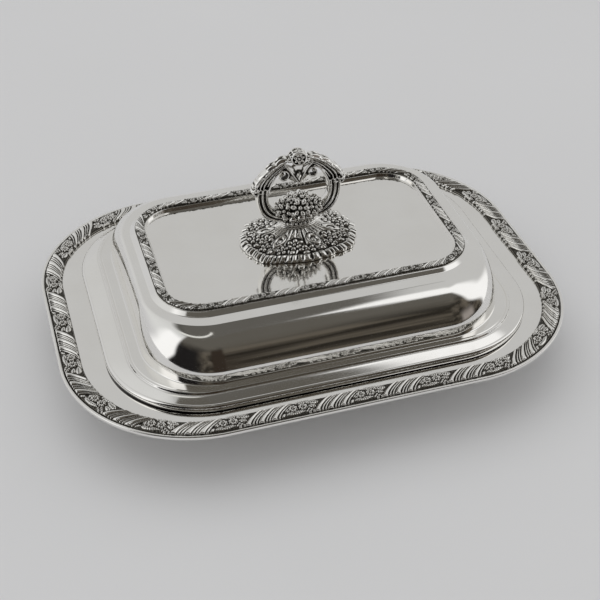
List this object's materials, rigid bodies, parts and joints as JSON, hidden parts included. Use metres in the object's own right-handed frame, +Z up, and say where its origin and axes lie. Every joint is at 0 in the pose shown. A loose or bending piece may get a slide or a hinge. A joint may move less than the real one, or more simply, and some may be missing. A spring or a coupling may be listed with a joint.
{
  "type": "entree dish",
  "caption": "Oblong silver-plated entree dish: a shallow dish with a wide bordered rim, a lift-off domed cover and a removable cast loop handle bolted through it.",
  "frame": {"origin": "on the table under the middle of the dish", "axes": "+X along the dish, +Y across it, +Z up"},
  "size_m": [0.3, 0.2294, 0.1242],
  "materials": {
    "plated_sheet": "polished silver plate",
    "plated_casting": "silver plate, dark in the hollows",
    "fastening": "dull"
  },
  "bodies": {
    "dish": {"dish_body": "plated_sheet", "rim_border": "plated_casting", "rim_edge_wire": "plated_sheet"},
    "cover": {"cover_body": "plated_sheet", "cover_edge_band": "plated_sheet", "cover_top_border": "plated_casting"},
    "handle": {"handle_foot": "plated_casting", "handle_collar": "plated_casting", "handle_loop": "plated_casting", "handle_rosette": "plated_casting", "handle_bouquet": "plated_casting", "handle_stud": "fastening"},
    "washer": {"handle_washer": "fastening"},
    "nut": {"handle_nut": "fastening"}
  },
  "joints": [
    {"name": "cover_lift", "type": "slide", "parent": "dish", "child": "cover", "axis": [0, 0, 1], "range_m": [0, 0.12]},
    {"name": "handle_lift", "type": "slide", "parent": "cover", "child": "handle", "axis": [0, 0, 1], "range_m": [0, 0.05]},
    {"name": "washer_drop", "type": "slide", "parent": "cover", "child": "washer", "axis": [0, 0, -1], "range_m": [0, 0.0065]},
    {"name": "nut_turn", "type": "hinge", "parent": "washer", "child": "nut", "pos_m": [0, 0, 0.0612], "axis": [0, 0, -1], "range_deg": [0, 2926]}
  ],
  "couplings": [
    {"joint": "nut_turn", "follows": "washer_drop", "rad_per_m": 7854}
  ]
}
